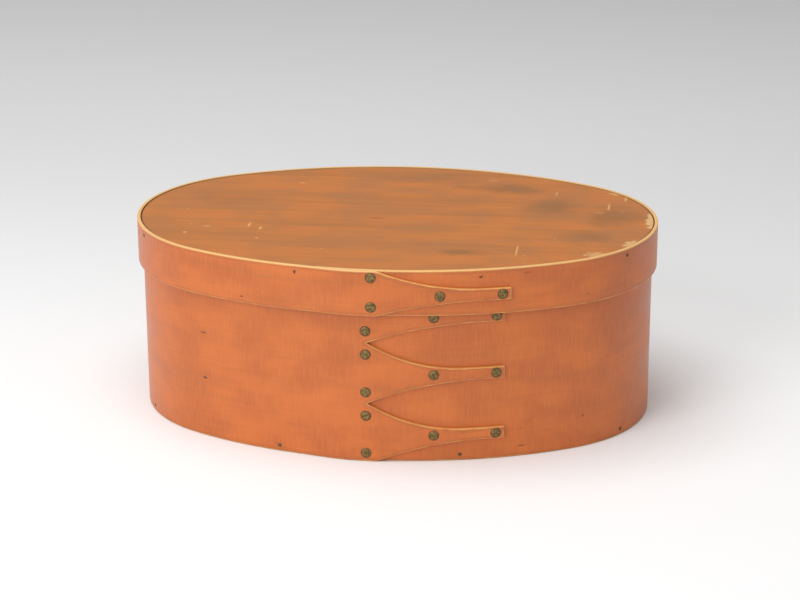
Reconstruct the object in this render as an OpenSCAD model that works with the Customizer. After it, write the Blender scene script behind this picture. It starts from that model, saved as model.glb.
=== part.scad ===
// Lidded oval box of thin wood, bent and tacked the old way.
//
// Two strips of steam-bent maple make the walls, one for the box and one for the lid rim.
// Each strip closes in a flat lap at the front. The outer end is cut into long tapered
// fingers so that the lap can dry without splitting, and tacks driven through both layers
// hold it. Two flat pine boards close the bottom and the lid, each held in its strip by
// small pegs driven in from outside. The lid lifts straight off.
//
// X runs along the box, the lap faces -Y, Z is up and the box stands on Z = 0.
// All sizes are in millimetres.

/* [Box] */
// Length of the box outside its band
box_length = 237.4; // [196:0.2:286]
// Width of the box outside its band
box_width = 158.4; // [130:0.2:192]
// Radius of the rounded ends as a share of half the width
end_share = 0.813; // [0.72:0.001:0.88]
// Height of the box band
box_height = 84.4; // [70:0.2:104]
// Thickness of the strip that is bent into the box band
box_band_t = 1.7; // [1.4:0.1:2.2]
// Thickness of the bottom board
bottom_t = 5.4; // [4.6:0.1:8]

/* [Lid] */
// Height of the lid rim
lid_rim_h = 20.5; // [17:0.1:25]
// Thickness of the strip that is bent into the lid rim
lid_band_t = 1.6; // [1.3:0.1:2.1]
// Thickness of the lid board
lid_board_t = 5.3; // [4.4:0.1:7]
// How far the rim stands above the lid board
rim_proud = 0.4; // [0.1:0.1:1.2]
// Gap between the rim and the box, over the tack heads
lid_gap = 0.6; // [0.4:0.05:1.2]

/* [Lap] */
// Gap left between the two layers of a lap
lap_gap = 0.05; // [0.02:0.01:0.15]
// Thickness left at the end of the strip inside the lap
feather_t = 0.3; // [0.2:0.05:0.6]
// Radius that brings the outer layer back round after it has left the form
ramp_r = 60; // [45:1:80]
// Where the outer layer of the box lap starts to lift
box_ramp_x = -40; // [-42:0.5:-36]
// Where the outer layer of the rim lap starts to lift
lid_ramp_x = -36; // [-40:0.5:-32]

/* [Fingers] */
// Where the fingers of the box end
box_tip_x = 56.8; // [54:0.2:64]
// Where the finger of the rim ends
lid_tip_x = 59.6; // [56:0.2:66]
// Width of a finger at its end
tip_w = 5.3; // [4.6:0.1:7]
// Where the notches between the box fingers start
notch_x = -3.4; // [-6:0.2:0]
// Where the outermost finger edges start
edge_x = 1.4; // [-2:0.2:5]
// Where the upper edge of a finger runs level
upper_level_x = 39; // [32:0.2:45]
// Where the lower edge of a finger runs level
lower_level_x = 49.2; // [42:0.2:52]
// Height of the lower notch as a share of the box height
low_notch = 0.324; // [0.29:0.001:0.36]
// Height of the upper notch as a share of the box height
high_notch = 0.66; // [0.62:0.001:0.7]
// Middle of the lowest finger end as a share of the box height
low_tip = 0.151; // [0.13:0.001:0.17]
// Middle of the middle finger end as a share of the box height
middle_tip = 0.489; // [0.46:0.001:0.52]
// Middle of the highest finger end as a share of the box height
high_tip = 0.803; // [0.79:0.001:0.84]
// Middle of the rim finger end as a share of the rim height
rim_tip = 0.46; // [0.4:0.01:0.52]
// Middle of the rim finger root as a share of the rim height
rim_root = 0.53; // [0.48:0.01:0.55]

/* [Tacks] */
// Diameter of a tack head
head_d = 4.2; // [3.4:0.1:4.8]
// Height of a tack head above the wood
head_h = 0.35; // [0.2:0.05:0.5]
// Radius of the hammered dome of a tack head
head_dome_r = 10; // [7:0.5:16]
// Diameter of a tack shank
shank_d = 1.5; // [1.1:0.1:1.8]
// Gap between a shank and its hole, all round
shank_gap = 0.03; // [0.01:0.01:0.1]
// Length of the shank end that is turned over inside the band
clinch_l = 2.6; // [2:0.1:3.4]
// Thickness of the shank end that is turned over
clinch_t = 0.5; // [0.35:0.05:0.7]
// How deep a tack goes into the edge of a board
tack_bite = 4; // [3:0.5:6]
// Where the pair of tacks at the root of the box fingers sits
box_root_tack_x = -3.7; // [-5:0.1:-3]
// Where the pair of tacks at the root of the rim finger sits
lid_root_tack_x = -0.6; // [-2:0.1:0]
// Distance between the two tacks of a root pair in the box
box_tack_pitch = 17.7; // [16:0.1:19]
// Distance between the two tacks of the root pair in the rim
lid_tack_pitch = 13.4; // [12:0.1:14]
// Distance along a finger from the root tacks to the middle tack
middle_tack_run = 29.9; // [27:0.1:33]
// Distance from the middle of the last tack to the finger end
tip_tack_inset = 3.7; // [3.2:0.1:5]

/* [Pegs] */
// Diameter of a wooden peg
peg_d = 2; // [1.6:0.1:2.6]
// How deep a peg goes into the edge of a board
peg_bite = 9; // [6:0.5:14]
// Gap between a peg and its hole, all round
peg_gap = 0.02; // [0.01:0.01:0.08]
// Gap between the edge of a board and its band
board_gap = 0.05; // [0.02:0.01:0.2]
// Left pegs of the long sides of the box
box_left_peg_x = -43.8; // [-48:0.2:-43.4]
// Right pegs of the long sides of the box
box_right_peg_x = 37.4; // [32:0.2:44]
// Left pegs of the long sides of the rim
lid_left_peg_x = -34.2; // [-40:0.2:-33]
// Right pegs of the long sides of the rim
lid_right_peg_x = 46.2; // [40:0.2:52]
// Angle of the pegs of the left end from the long axis
left_peg_turn = 30; // [24:0.5:44]
// Angle of the pegs of the right end from the long axis
right_peg_turn = 35; // [24:0.5:44]

/* [Hidden] */
$fn = 96;

// Arcs that run into one another overlap by this much, so that they cross cleanly
blend = 0.005;
reach = 100;
deep = 60;
over = 4;

// An oval is its half length, its half width and the radius of its ends. This one is the
// form that the box is bent on, so it is the inside of the box band.
box_form = [box_length / 2, box_width / 2, end_share * box_width / 2]
    - box_band_t * [1, 1, 1];
box_step = box_band_t + lap_gap;

// The rim is bent round the lapped box. Its back follows the box, and its front runs
// round the same centre as the lap, clear of the tack heads.
lid_back = grow(box_form, box_band_t + lid_gap);
lid_front = round_centre(lid_back[0] - blend, lid_back[1] + box_step + head_h,
    side_y(box_form));
lid_step = lid_band_t + lap_gap;
lid_top_z = box_height + lid_board_t;
lid_z1 = lid_top_z + rim_proud;
lid_z0 = lid_z1 - lid_rim_h;

// Finger heights in the box and in the rim
box_notches = [low_notch * box_height, high_notch * box_height];
box_tips = [low_tip * box_height, middle_tip * box_height, high_tip * box_height];
box_roots = [box_tips[0], (box_notches[0] + box_notches[1]) / 2,
    (box_notches[1] + box_height) / 2];
rim_tip_z = lid_z0 + rim_tip * lid_rim_h;
rim_root_z = lid_z0 + rim_root * lid_rim_h;

// The oval is drawn from four centres, so that its arcs run into one another
function end_x(o) = o[0] - o[2];
function side_y(o) = (pow(end_x(o), 2) - pow(o[1] - o[2], 2)) / (2 * (o[1] - o[2]));
function side_r(o) = o[1] + side_y(o);
function grow(o, by) = o + by * [1, 1, 1];
function round_centre(a, b, sy) =
    [a, b, (pow(b + sy, 2) - a * a - sy * sy) / (2 * (b + sy - a))];

// The outer layer leaves the form along a straight tangent and is brought back round to
// the radius of the lap by one arc
function ramp_l(r, step) = sqrt(step * (2 * (r - ramp_r) + step));
function ramp_turn(r, x) = asin(x / r);
function lap_turn(r, step, x) = ramp_turn(r, x) + atan2(ramp_l(r, step), r - ramp_r);
function feather_l(r) = sqrt(r * r - pow(r - lap_gap - feather_t, 2));

// Radius of the arc that leaves one point and runs level at another
function edge_r(run, rise) = (run * run + rise * rise) / (2 * rise);

module oval(o) {
    ex = end_x(o);
    sy = side_y(o);
    rise = 2 * o[1];
    run = ex + rise * ex / sy;
    intersection() {
        translate([0, sy]) circle(r = side_r(o));
        translate([0, -sy]) circle(r = side_r(o));
        polygon([[ex, 0], [run, rise], [-run, rise], [-ex, 0], [-run, -rise],
            [run, -rise]]);
    }
    for (side = [-1, 1]) translate([side * ex, 0]) circle(r = o[2] + blend);
}

// An oval whose front may be fuller than its back
module plan(o, back) {
    oval(back);
    if (o != back) intersection() {
        oval(o);
        translate([-2 * o[0], -2 * o[1]]) square([4 * o[0], 2 * o[1]]);
    }
}

// Turns about the centre of the front arc, so that -Y points out through the wall
module front(o, turn) {
    translate([0, side_y(o)]) rotate(turn) children();
}

// The front wall from the given turn on, with room on both sides of it
module beyond(o, turn) {
    r = side_r(o);
    front(o, turn) translate([0, -r - over]) square([reach, deep]);
}

// The straight and the arc of the ramp, drawn as a solid shape that ends a distance out
// from the inner face of the outer layer
module ramp(o, step, ramp_x, out) {
    r = side_r(o);
    run = ramp_l(r, step);
    front(o, ramp_turn(r, ramp_x)) {
        translate([0, blend - r - out]) square([run, over + out]);
        translate([run, ramp_r - r]) circle(r = ramp_r + out + blend);
    }
}

// The same with the lap that follows, as far as the end of the fingers
module lap_side(o, step, ramp_x, tip_turn, out) {
    r = side_r(o);
    difference() {
        union() {
            ramp(o, step, ramp_x, out);
            intersection() {
                front(o, 0) circle(r = r + step + out);
                beyond(o, lap_turn(r, step, ramp_x));
            }
        }
        beyond(o, tip_turn);
    }
}

// Plan of a bent strip: once round the form, then up the ramp and along the lap
module strip_plan(o, back, t, ramp_x, tip_x) {
    r = side_r(o);
    step = t + lap_gap;
    tip_turn = asin(tip_x / (r + step + t));
    difference() {
        union() {
            plan(grow(o, t), grow(back, t));
            lap_side(o, step, ramp_x, tip_turn, t);
        }
        plan(o, back);
        lap_side(o, step, ramp_x, tip_turn, 0);
    }
    // The inner layer, from its feathered end to where the fingers stop
    difference() {
        intersection() {
            plan(grow(o, t), grow(back, t));
            front(o, ramp_turn(r, ramp_x)) translate([feather_l(r), -r - over])
                square([reach, deep]);
            union() {
                ramp(o, step, ramp_x, -lap_gap);
                beyond(o, lap_turn(r, step, ramp_x));
            }
        }
        plan(o, back);
        beyond(o, tip_turn);
    }
}

// Everything under the lower edge of a finger
module under_edge(root, level) {
    r = edge_r(level[0] - root[0], level[1] - root[1]);
    translate([level[0], level[1] - r]) circle(r = r);
    translate([level[0], level[1] - r]) square([reach, r - blend]);
}

// Everything over the upper edge of a finger
module over_edge(root, level) {
    r = edge_r(level[0] - root[0], root[1] - level[1]);
    translate([level[0], level[1] + r]) circle(r = r);
    translate([level[0], level[1] + blend]) square([reach, r - blend]);
}

// Cuts the drawn outline out of the outer layer of a lap and leaves the inner one whole
module lap_cut(o, t) {
    difference() {
        rotate([90, 0, 0]) linear_extrude(height = o[1] + t + 2 * over) children();
        translate([0, side_y(o), -over]) cylinder(r = side_r(o) + t + lap_gap / 2,
            h = box_height + lid_rim_h + 2 * over);
    }
}

// Places a tack or a peg on the front wall, its axis pointing out along +Z
module on_front(o, out, x, z) {
    r = side_r(o) + out;
    translate([0, side_y(o), z]) rotate([0, 0, asin(x / r)]) translate([0, -r, 0])
        rotate([90, 0, 0]) children();
}

module on_back(o, out, x, z) {
    mirror([0, 1, 0]) on_front(o, out, x, z) children();
}

// Places a peg on an end wall, side -1 for the left end and flip -1 for its front half
module on_end(o, out, side, flip, turn, z) {
    translate([side * end_x(o), 0, z]) rotate([0, 0, 90 + side * (-90 + flip * turn)])
        translate([o[2] + out, 0, 0]) rotate([0, 90, 0]) children();
}

// The tack is a flat-hammered head on a round shank. The grow value makes the hole for it.
module shank(l, grow) {
    translate([0, 0, -l]) cylinder(d = shank_d + 2 * grow, h = l);
}

// The turned-over end lies flush in the inner face of the band
module clinch(l, grow) {
    translate([-shank_d / 2 - grow, -shank_d / 2 - grow, -l])
        cube([shank_d + 2 * grow, clinch_l + 2 * grow, clinch_t + grow]);
}

module head() {
    rotate_extrude() intersection() {
        translate([0, head_h - head_dome_r]) circle(r = head_dome_r, $fn = 720);
        square([head_d / 2, head_h]);
    }
}

module clinched_tack(step, t) {
    head();
    shank(step + t, 0);
    clinch(step + t, 0);
}

module driven_tack(step, t) {
    head();
    shank(step + t + tack_bite, 0);
}

module peg(t) {
    translate([0, 0, -t - peg_bite]) cylinder(d = peg_d, h = t + peg_bite);
}

// One row for each tack: position along X, height, and whether it ends in a board
function finger_tacks(root_x, tip_x, root_z, tip_z, pitch, z0, z1) = [
    for (side = [-1, 1]) [root_x, root_z + side * pitch / 2,
        root_z + side * pitch / 2 < z0 || root_z + side * pitch / 2 > z1],
    [root_x + middle_tack_run, tip_z, false],
    [tip_x - tip_tack_inset, tip_z, false]
];
box_tacks = [for (i = [0 : 2]) finger_tacks(box_root_tack_x, box_tip_x, box_roots[i],
    box_tips[i], box_tack_pitch, bottom_t, box_height)];
rim_tacks = finger_tacks(lid_root_tack_x, lid_tip_x, rim_root_z, rim_tip_z,
    lid_tack_pitch, lid_z0, box_height);

// Those of a row that end in a board
function board_tacks(tacks) = [for (tack = tacks) if (tack[2]) tack];

module box_finger(i) {
    out = box_step + box_band_t;
    for (tack = box_tacks[i]) on_front(box_form, out, tack[0], tack[1])
        if (tack[2]) driven_tack(box_step, box_band_t);
        else clinched_tack(box_step, box_band_t);
}

module tack_holes(o, step, t, tacks) {
    l = step + t;
    for (tack = tacks) on_front(o, l, tack[0], tack[1]) {
        bite = tack[2] ? tack_bite + shank_gap : over;
        translate([0, 0, over]) shank(l + bite + over, shank_gap);
        if (!tack[2]) translate([0, 0, -shank_gap]) clinch(l + shank_gap, 2 * shank_gap);
    }
}

module peg_places(o, back, t, left_x, right_x, z) {
    for (x = [left_x, right_x]) {
        on_front(o, t, x, z) children();
        on_back(back, t, x, z) children();
    }
    for (side = [-1, 1]) {
        turn = side < 0 ? left_peg_turn : right_peg_turn;
        on_end(o, t, side, -1, turn, z) children();
        on_end(back, t, side, 1, turn, z) children();
    }
}

module box_peg_places() {
    peg_places(box_form, box_form, box_band_t, box_left_peg_x, box_right_peg_x,
        bottom_t / 2) children();
}

module lid_peg_places() {
    peg_places(lid_front, lid_back, lid_band_t, lid_left_peg_x, lid_right_peg_x,
        box_height + lid_board_t / 2) children();
}

module peg_hole(t) {
    translate([0, 0, -t - peg_bite - peg_gap])
        cylinder(d = peg_d + 2 * peg_gap, h = t + peg_bite + peg_gap + over);
}

module box_band() {
    half = tip_w / 2;
    color([0.78, 0.42, 0.18]) difference() {
        linear_extrude(height = box_height)
            strip_plan(box_form, box_form, box_band_t, box_ramp_x, box_tip_x);
        lap_cut(box_form, box_band_t) {
            under_edge([edge_x, 0], [lower_level_x, box_tips[0] - half]);
            for (i = [0, 1]) intersection() {
                over_edge([notch_x, box_notches[i]], [upper_level_x, box_tips[i] + half]);
                under_edge([notch_x, box_notches[i]],
                    [lower_level_x, box_tips[i + 1] - half]);
            }
            over_edge([edge_x, box_height], [upper_level_x, box_tips[2] + half]);
        }
        for (i = [0 : 2]) tack_holes(box_form, box_step, box_band_t, box_tacks[i]);
        box_peg_places() peg_hole(box_band_t);
    }
}

module box_bottom() {
    color([0.8, 0.62, 0.38]) difference() {
        linear_extrude(height = bottom_t) oval(grow(box_form, -board_gap));
        tack_holes(box_form, box_step, box_band_t, board_tacks(box_tacks[0]));
        box_peg_places() peg_hole(box_band_t);
    }
}

module upper_finger_tacks() {
    color([0.45, 0.36, 0.2]) box_finger(2);
}

module middle_finger_tacks() {
    color([0.45, 0.36, 0.2]) box_finger(1);
}

module lower_finger_tacks() {
    color([0.45, 0.36, 0.2]) box_finger(0);
}

module bottom_pegs() {
    color([0.35, 0.2, 0.1]) box_peg_places() peg(box_band_t);
}

module lid_band() {
    half = tip_w / 2;
    color([0.78, 0.42, 0.18]) difference() {
        translate([0, 0, lid_z0]) linear_extrude(height = lid_rim_h)
            strip_plan(lid_front, lid_back, lid_band_t, lid_ramp_x, lid_tip_x);
        lap_cut(lid_front, lid_band_t) {
            under_edge([edge_x, lid_z0], [lower_level_x, rim_tip_z - half]);
            over_edge([edge_x, lid_z1], [lower_level_x, rim_tip_z + half]);
        }
        tack_holes(lid_front, lid_step, lid_band_t, rim_tacks);
        lid_peg_places() peg_hole(lid_band_t);
    }
}

module lid_top() {
    color([0.7, 0.5, 0.26]) difference() {
        translate([0, 0, box_height]) linear_extrude(height = lid_board_t)
            plan(grow(lid_front, -board_gap), grow(lid_back, -board_gap));
        tack_holes(lid_front, lid_step, lid_band_t, board_tacks(rim_tacks));
        lid_peg_places() peg_hole(lid_band_t);
    }
}

module lid_finger_tacks() {
    color([0.45, 0.36, 0.2]) for (tack = rim_tacks)
        on_front(lid_front, lid_step + lid_band_t, tack[0], tack[1])
            if (tack[2]) driven_tack(lid_step, lid_band_t);
            else clinched_tack(lid_step, lid_band_t);
}

module lid_pegs() {
    color([0.35, 0.2, 0.1]) lid_peg_places() peg(lid_band_t);
}

box_band();
box_bottom();
upper_finger_tacks();
middle_finger_tacks();
lower_finger_tacks();
bottom_pegs();
lid_band();
lid_top();
lid_finger_tacks();
lid_pegs();
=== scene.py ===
import math

import bmesh
import bpy
import numpy as np
from mathutils import Matrix, Vector


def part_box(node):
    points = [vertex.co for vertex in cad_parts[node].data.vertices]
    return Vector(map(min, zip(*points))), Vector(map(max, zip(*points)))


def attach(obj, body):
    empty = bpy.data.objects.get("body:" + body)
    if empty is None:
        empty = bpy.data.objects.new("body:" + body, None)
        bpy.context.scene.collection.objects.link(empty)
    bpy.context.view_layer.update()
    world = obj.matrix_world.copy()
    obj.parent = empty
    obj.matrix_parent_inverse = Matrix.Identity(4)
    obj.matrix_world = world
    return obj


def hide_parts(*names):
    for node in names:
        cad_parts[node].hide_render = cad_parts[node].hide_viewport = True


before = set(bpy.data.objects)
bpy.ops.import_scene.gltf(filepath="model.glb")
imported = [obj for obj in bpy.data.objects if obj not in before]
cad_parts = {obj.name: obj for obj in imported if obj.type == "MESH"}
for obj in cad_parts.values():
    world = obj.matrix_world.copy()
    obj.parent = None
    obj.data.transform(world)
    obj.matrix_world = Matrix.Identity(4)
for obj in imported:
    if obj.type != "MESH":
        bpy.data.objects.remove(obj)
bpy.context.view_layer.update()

# The box band.
# One strip of maple, steamed and bent round an oval form until it laps over its own thinned
# end. The outer end is cut into three long fingers, and the outside has a thin orange wash.
MM = 0.001
BAND_T = 1.7
LAP_GAP = 0.05
FEATHER_T = 0.3
RAMP_R = 60.0
band_low, band_high = (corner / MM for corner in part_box("box_band"))
BOX_FORM = (band_high.x - BAND_T, band_high.y - BAND_T, 62.69)
BOX_HEIGHT = band_high.z
TIP_W = 5.3
NOTCH_X, EDGE_X = -3.4, 1.4
UPPER_LEVEL_X, LOWER_LEVEL_X = 39.0, 49.2
NOTCHES = (0.324 * BOX_HEIGHT, 0.66 * BOX_HEIGHT)
TIPS = (0.151 * BOX_HEIGHT, 0.489 * BOX_HEIGHT, 0.803 * BOX_HEIGHT)
BOX_TIP_X = 56.8


def oval_arcs(oval):
    """Centre distances, side radius and the turn where side and end arcs meet."""
    half_l, half_w, end_r = oval
    end_x = half_l - end_r
    side_y = (end_x**2 - (half_w - end_r) ** 2) / (2 * (half_w - end_r))
    return end_x, side_y, half_w + side_y, math.atan2(end_x, side_y)


def strip_path(front, back, t, ramp_x, tip_x):
    """The inner face of a bent strip: once round the form, up the ramp and along the lap."""
    _, side_y, side_r, front_turn = oval_arcs(front)
    back_r, back_turn = oval_arcs(back)[2:]
    step = t + LAP_GAP
    ramp_l = math.sqrt(step * (2 * (side_r - RAMP_R) + step))
    ramp_turn = math.asin(ramp_x / side_r)
    lap_turn = ramp_turn + math.atan2(ramp_l, side_r - RAMP_R)
    tip_turn = math.asin(tip_x / (side_r + step + t))
    feather = math.sqrt(side_r**2 - (side_r - LAP_GAP - FEATHER_T) ** 2)
    start = ramp_turn + math.asin(feather / side_r)
    half, full = math.pi, 2 * math.pi
    arcs = [
        (start, front_turn, side_r),
        (front_turn, half / 2, front[2]),
        (half / 2, half - back_turn, back[2]),
        (half - back_turn, half + back_turn, back_r),
        (half + back_turn, 1.5 * half, back[2]),
        (1.5 * half, full - front_turn, front[2]),
        (full - front_turn, full + ramp_turn, side_r),
        (full + ramp_turn, full + ramp_turn, 0),
        (full + ramp_turn, full + lap_turn, RAMP_R),
        (full + lap_turn, full + tip_turn, side_r + step),
    ]
    rows, at = [], 0.0
    x, y = side_r * math.sin(start), side_y - side_r * math.cos(start)
    for h0, h1, r in arcs:
        length = r * (h1 - h0) if r else ramp_l
        rows.append((at, x, y, h0, r))
        x += r * (math.sin(h1) - math.sin(h0)) if r else length * math.cos(h0)
        y -= r * (math.cos(h1) - math.cos(h0)) if r else -length * math.sin(h0)
        at += length
    return {
        "rows": np.array(rows), "end": at, "side_y": side_y, "side_r": side_r,
        "start": start, "ramp": rows[7][0], "lap": rows[9][0], "lap_turn": lap_turn,
        "lap_r": side_r + step, "t": t, "first": rows[1][0],
    }


def along(path, s):
    """Place and heading at a distance along the path."""
    rows = path["rows"]
    row = rows[np.clip(np.searchsorted(rows[:, 0], s, "right") - 1, 0, len(rows) - 1)]
    run, x, y, h, r = s - row[..., 0], row[..., 1], row[..., 2], row[..., 3], row[..., 4]
    bent = r > 0
    h1 = h + np.where(bent, run / np.where(bent, r, 1), 0)
    x1 = np.where(bent, x + r * (np.sin(h1) - np.sin(h)), x + run * np.cos(h))
    y1 = np.where(bent, y - r * (np.cos(h1) - np.cos(h)), y + run * np.sin(h))
    return x1, y1, h1


def thickness(path, s):
    """Full thickness, but thinned where the strip's inner end fits under the ramp."""
    x, y, _ = along(path, np.linspace(path["ramp"], path["lap"], 200))
    turn = np.arctan2(x, path["side_y"] - y)
    room = np.hypot(x, path["side_y"] - y) - path["side_r"] - LAP_GAP
    own = np.interp(path["start"] + s / path["side_r"], turn, room)
    return np.where(s < path["first"], np.clip(own, 0.1, path["t"]), path["t"])


def lap_s(path, x):
    """Distance along the strip of a point on the lap's outer face at this x."""
    turn = np.arcsin(x / (path["lap_r"] + path["t"]))
    return path["lap"] + path["lap_r"] * (turn - path["lap_turn"])


def lap_x(path, s):
    turn = path["lap_turn"] + (s - path["lap"]) / path["lap_r"]
    return np.where(s > path["lap"], (path["lap_r"] + path["t"]) * np.sin(turn), -99.0)


def cut_edge(x, root, level):
    """Height of a knife cut that leaves its root at a slant and then runs level."""
    run, rise = level[0] - root[0], level[1] - root[1]
    r = (run**2 + rise**2) / (2 * abs(rise))
    side = math.copysign(1, rise)
    reach = np.clip(level[0] - x, 0, run)
    return level[1] - side * (r - np.sqrt(r**2 - reach**2))


def grown(s, start, width, over):
    """A worn edge starts from nothing at the root of a cut and widens along it."""
    return width * np.clip((s - start) / over, 0, 1)


def strip_object(name, path, z0, z1, fingers, worn=0.4, inner_worn=0.15):
    """The strip with its fingers, drawn flat with rounded edges and then bent.

    Each finger is a lower cut and an upper cut, a pair of root and level points. A cut
    with a notch at its root is closed before it.
    """
    rows = 11
    roots = [lap_s(path, cut[0][0]) for finger in fingers for cut in finger]
    fine_from = min(roots) - 4
    tip = path["end"]
    s = np.concatenate([
        [0, 1], np.linspace(2.5, fine_from, int(fine_from / 2.4)),
        np.linspace(fine_from + 0.7, tip - 0.5, int((tip - fine_from) / 0.8)),
        [tip - 0.3, tip - 0.12, tip],
    ])
    s = np.unique(np.concatenate([s, roots]).round(4))
    x = lap_x(path, s)
    thick = thickness(path, s)
    drop = np.interp(s, [tip - 0.45, tip - 0.3, tip - 0.12, tip], [0, 0.04, 0.13, 0.32])
    share = np.linspace(0, 1, rows + 1)
    share = share - 0.10 * np.sin(2 * np.pi * share) / (2 * np.pi) * 4
    arc = np.radians([30, 60, 90])
    flat, sides, faces = [], [], []
    count = 0
    for i, (low_cut, high_cut) in enumerate(fingers):
        lows, highs = cut_edge(x, *low_cut), cut_edge(x, *high_cut)
        low_open = np.full(len(s), True) if i == 0 else s >= lap_s(path, low_cut[0][0]) - 1e-3
        last = i == len(fingers) - 1
        high_open = np.full(len(s), True) if last else s >= lap_s(path, high_cut[0][0]) - 1e-3
        low_w = np.full(len(s), worn) if i == 0 else grown(s, lap_s(path, low_cut[0][0]), worn, 5)
        high_w = np.full(len(s), worn) if last else grown(s, lap_s(path, high_cut[0][0]), worn, 5)
        low_in, high_in = low_w / worn * inner_worn, high_w / worn * inner_worn
        outer_d = thick - np.minimum(drop, thick * 0.6)
        deep = np.minimum(0.8, thick / path["t"])
        ring = []
        for k in share:
            z = (lows + low_w) + (highs - high_w - lows - low_w) * k
            ring.append((z, outer_d, 1))
        for a in arc:
            ring.append((highs - high_w * (1 - math.sin(a)),
                         outer_d - high_w * deep * (1 - math.cos(a)), 1))
        ring.append((highs, np.minimum(high_in, thick * 0.3), 1))
        for k in share[::-1]:
            z = (lows + low_in) + (highs - high_in - lows - low_in) * k
            ring.append((z, 0 * thick, 0))
        ring.append((lows, np.minimum(low_in, thick * 0.3), 1))
        for a in arc[::-1]:
            ring.append((lows + low_w * (1 - math.sin(a)),
                         outer_d - low_w * deep * (1 - math.cos(a)), 1))
        n = len(ring)
        for j in range(len(s)):
            for z, d, painted in ring:
                flat.append((s[j], z[j], d[j]))
                sides.append(painted * (d[j] > 0.01))
        high_side = range(rows, rows + len(arc) + 2)
        low_side = range(2 * rows + len(arc) + 2, n)
        for j in range(len(s) - 1):
            a, b = count + j * n, count + (j + 1) * n
            for k in range(n):
                if k in high_side and not high_open[j] or k in low_side and not low_open[j]:
                    continue
                m = (k + 1) % n
                faces.append((a + k, b + k, b + m, a + m))
        ends = [count, count + (len(s) - 1) * n]
        for base, flip in zip(ends, (True, False)):
            for k in range(rows):
                inner = 2 * rows + len(arc) + 2 - k
                quad = (base + k, base + inner, base + inner - 1, base + k + 1)
                faces.append(quad[::-1] if flip else quad)
            for cap, shown in ((high_side, last or not flip), (low_side, i == 0 or not flip)):
                if shown:
                    points = [base + (k % n) for k in [*cap, cap[-1] + 1]]
                    faces.append(points if flip else points[::-1])
        count += len(s) * n
    flat = np.array(flat, float)
    painted = np.array(sides, float)
    edge = np.minimum(flat[:, 1] - z0, z1 - flat[:, 1])
    at = np.searchsorted(s, flat[:, 0])
    for low_cut, high_cut in fingers:
        for cut in (low_cut, high_cut):
            start = lap_s(path, cut[0][0])
            cut_z = cut_edge(x, *cut)[at]
            before = np.hypot(flat[:, 0] - start, flat[:, 1] - cut[0][1])
            near = np.where(flat[:, 0] >= start, abs(flat[:, 1] - cut_z), before)
            edge = np.minimum(edge, near)
    edge = np.maximum(np.minimum(edge, tip - flat[:, 0]), 0)
    px, py, heading = along(path, flat[:, 0])
    place = np.stack([
        px + flat[:, 2] * np.sin(heading), py - flat[:, 2] * np.cos(heading), flat[:, 1]
    ], axis=1) * MM
    mesh = bpy.data.meshes.new(name)
    mesh.from_pydata(place.tolist(), [], faces)
    strip = mesh.attributes.new("strip", "FLOAT_VECTOR", "POINT")
    strip.data.foreach_set("vector", flat.astype(np.float32).ravel())
    for key, values in (("edge", edge), ("painted", painted)):
        layer = mesh.attributes.new(key, "FLOAT", "POINT")
        layer.data.foreach_set("value", values.astype(np.float32))
    bm = bmesh.new()
    bm.from_mesh(mesh)
    bmesh.ops.remove_doubles(bm, verts=bm.verts, dist=0.01 * MM)
    bmesh.ops.dissolve_degenerate(bm, edges=bm.edges, dist=0.005 * MM)
    bmesh.ops.delete(bm, geom=[v for v in bm.verts if not v.link_faces], context="VERTS")
    bmesh.ops.recalc_face_normals(bm, faces=bm.faces)
    for face in bm.faces:
        face.smooth = True
    bm.to_mesh(mesh)
    bm.free()
    piece = bpy.data.objects.new(name, mesh)
    bpy.context.scene.collection.objects.link(piece)
    even_shading(piece)
    return piece


def even_shading(piece):
    """Keeps broad faces flat-shaded up to their rounded edges."""
    smooth = piece.modifiers.new("even shading", "WEIGHTED_NORMAL")
    smooth.weight = 60
    smooth.keep_sharp = True


def put(tree, kind, values=None, **settings):
    """Adds a node, with values or links for its inputs."""
    made = tree.nodes.new(kind)
    for key, value in settings.items():
        setattr(made, key, value)
    for key, value in (values or {}).items():
        if isinstance(value, bpy.types.NodeSocket):
            tree.links.new(value, made.inputs[key])
        else:
            made.inputs[key].default_value = value
    return made


def sums(tree, operation, a, b=0.0, c=0.0, clamp=False):
    """The result of one Math node."""
    inputs = {0: a, 1: b, 2: c} if operation in ("MULTIPLY_ADD", "SMOOTH_MIN") else {0: a, 1: b}
    return put(tree, "ShaderNodeMath", inputs, operation=operation, use_clamp=clamp).outputs[0]


def blend_colours(tree, factor, a, b, kind="MIX"):
    mixed = put(tree, "ShaderNodeMix", {0: factor, 6: a, 7: b}, data_type="RGBA", blend_type=kind)
    return mixed.outputs[2]


def span(tree, value, low, highlight_band, to_low=0.0, to_high=1.0):
    """Maps a range of a value smoothly onto another."""
    inputs = {0: value, 1: low, 2: highlight_band, 3: to_low, 4: to_high}
    return put(tree, "ShaderNodeMapRange", inputs, interpolation_type="SMOOTHSTEP").outputs[0]


def effect(name, inputs, outputs):
    """An empty shader group with named inputs and outputs."""
    tree = bpy.data.node_groups.new(name, "ShaderNodeTree")
    for key, kind, value in inputs:
        socket = tree.interface.new_socket(key, in_out="INPUT", socket_type="NodeSocket" + kind)
        if value is not None:
            socket.default_value = value
    for key, kind in outputs:
        tree.interface.new_socket(key, in_out="OUTPUT", socket_type="NodeSocket" + kind)
    return tree, put(tree, "NodeGroupInput").outputs, put(tree, "NodeGroupOutput")


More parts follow.
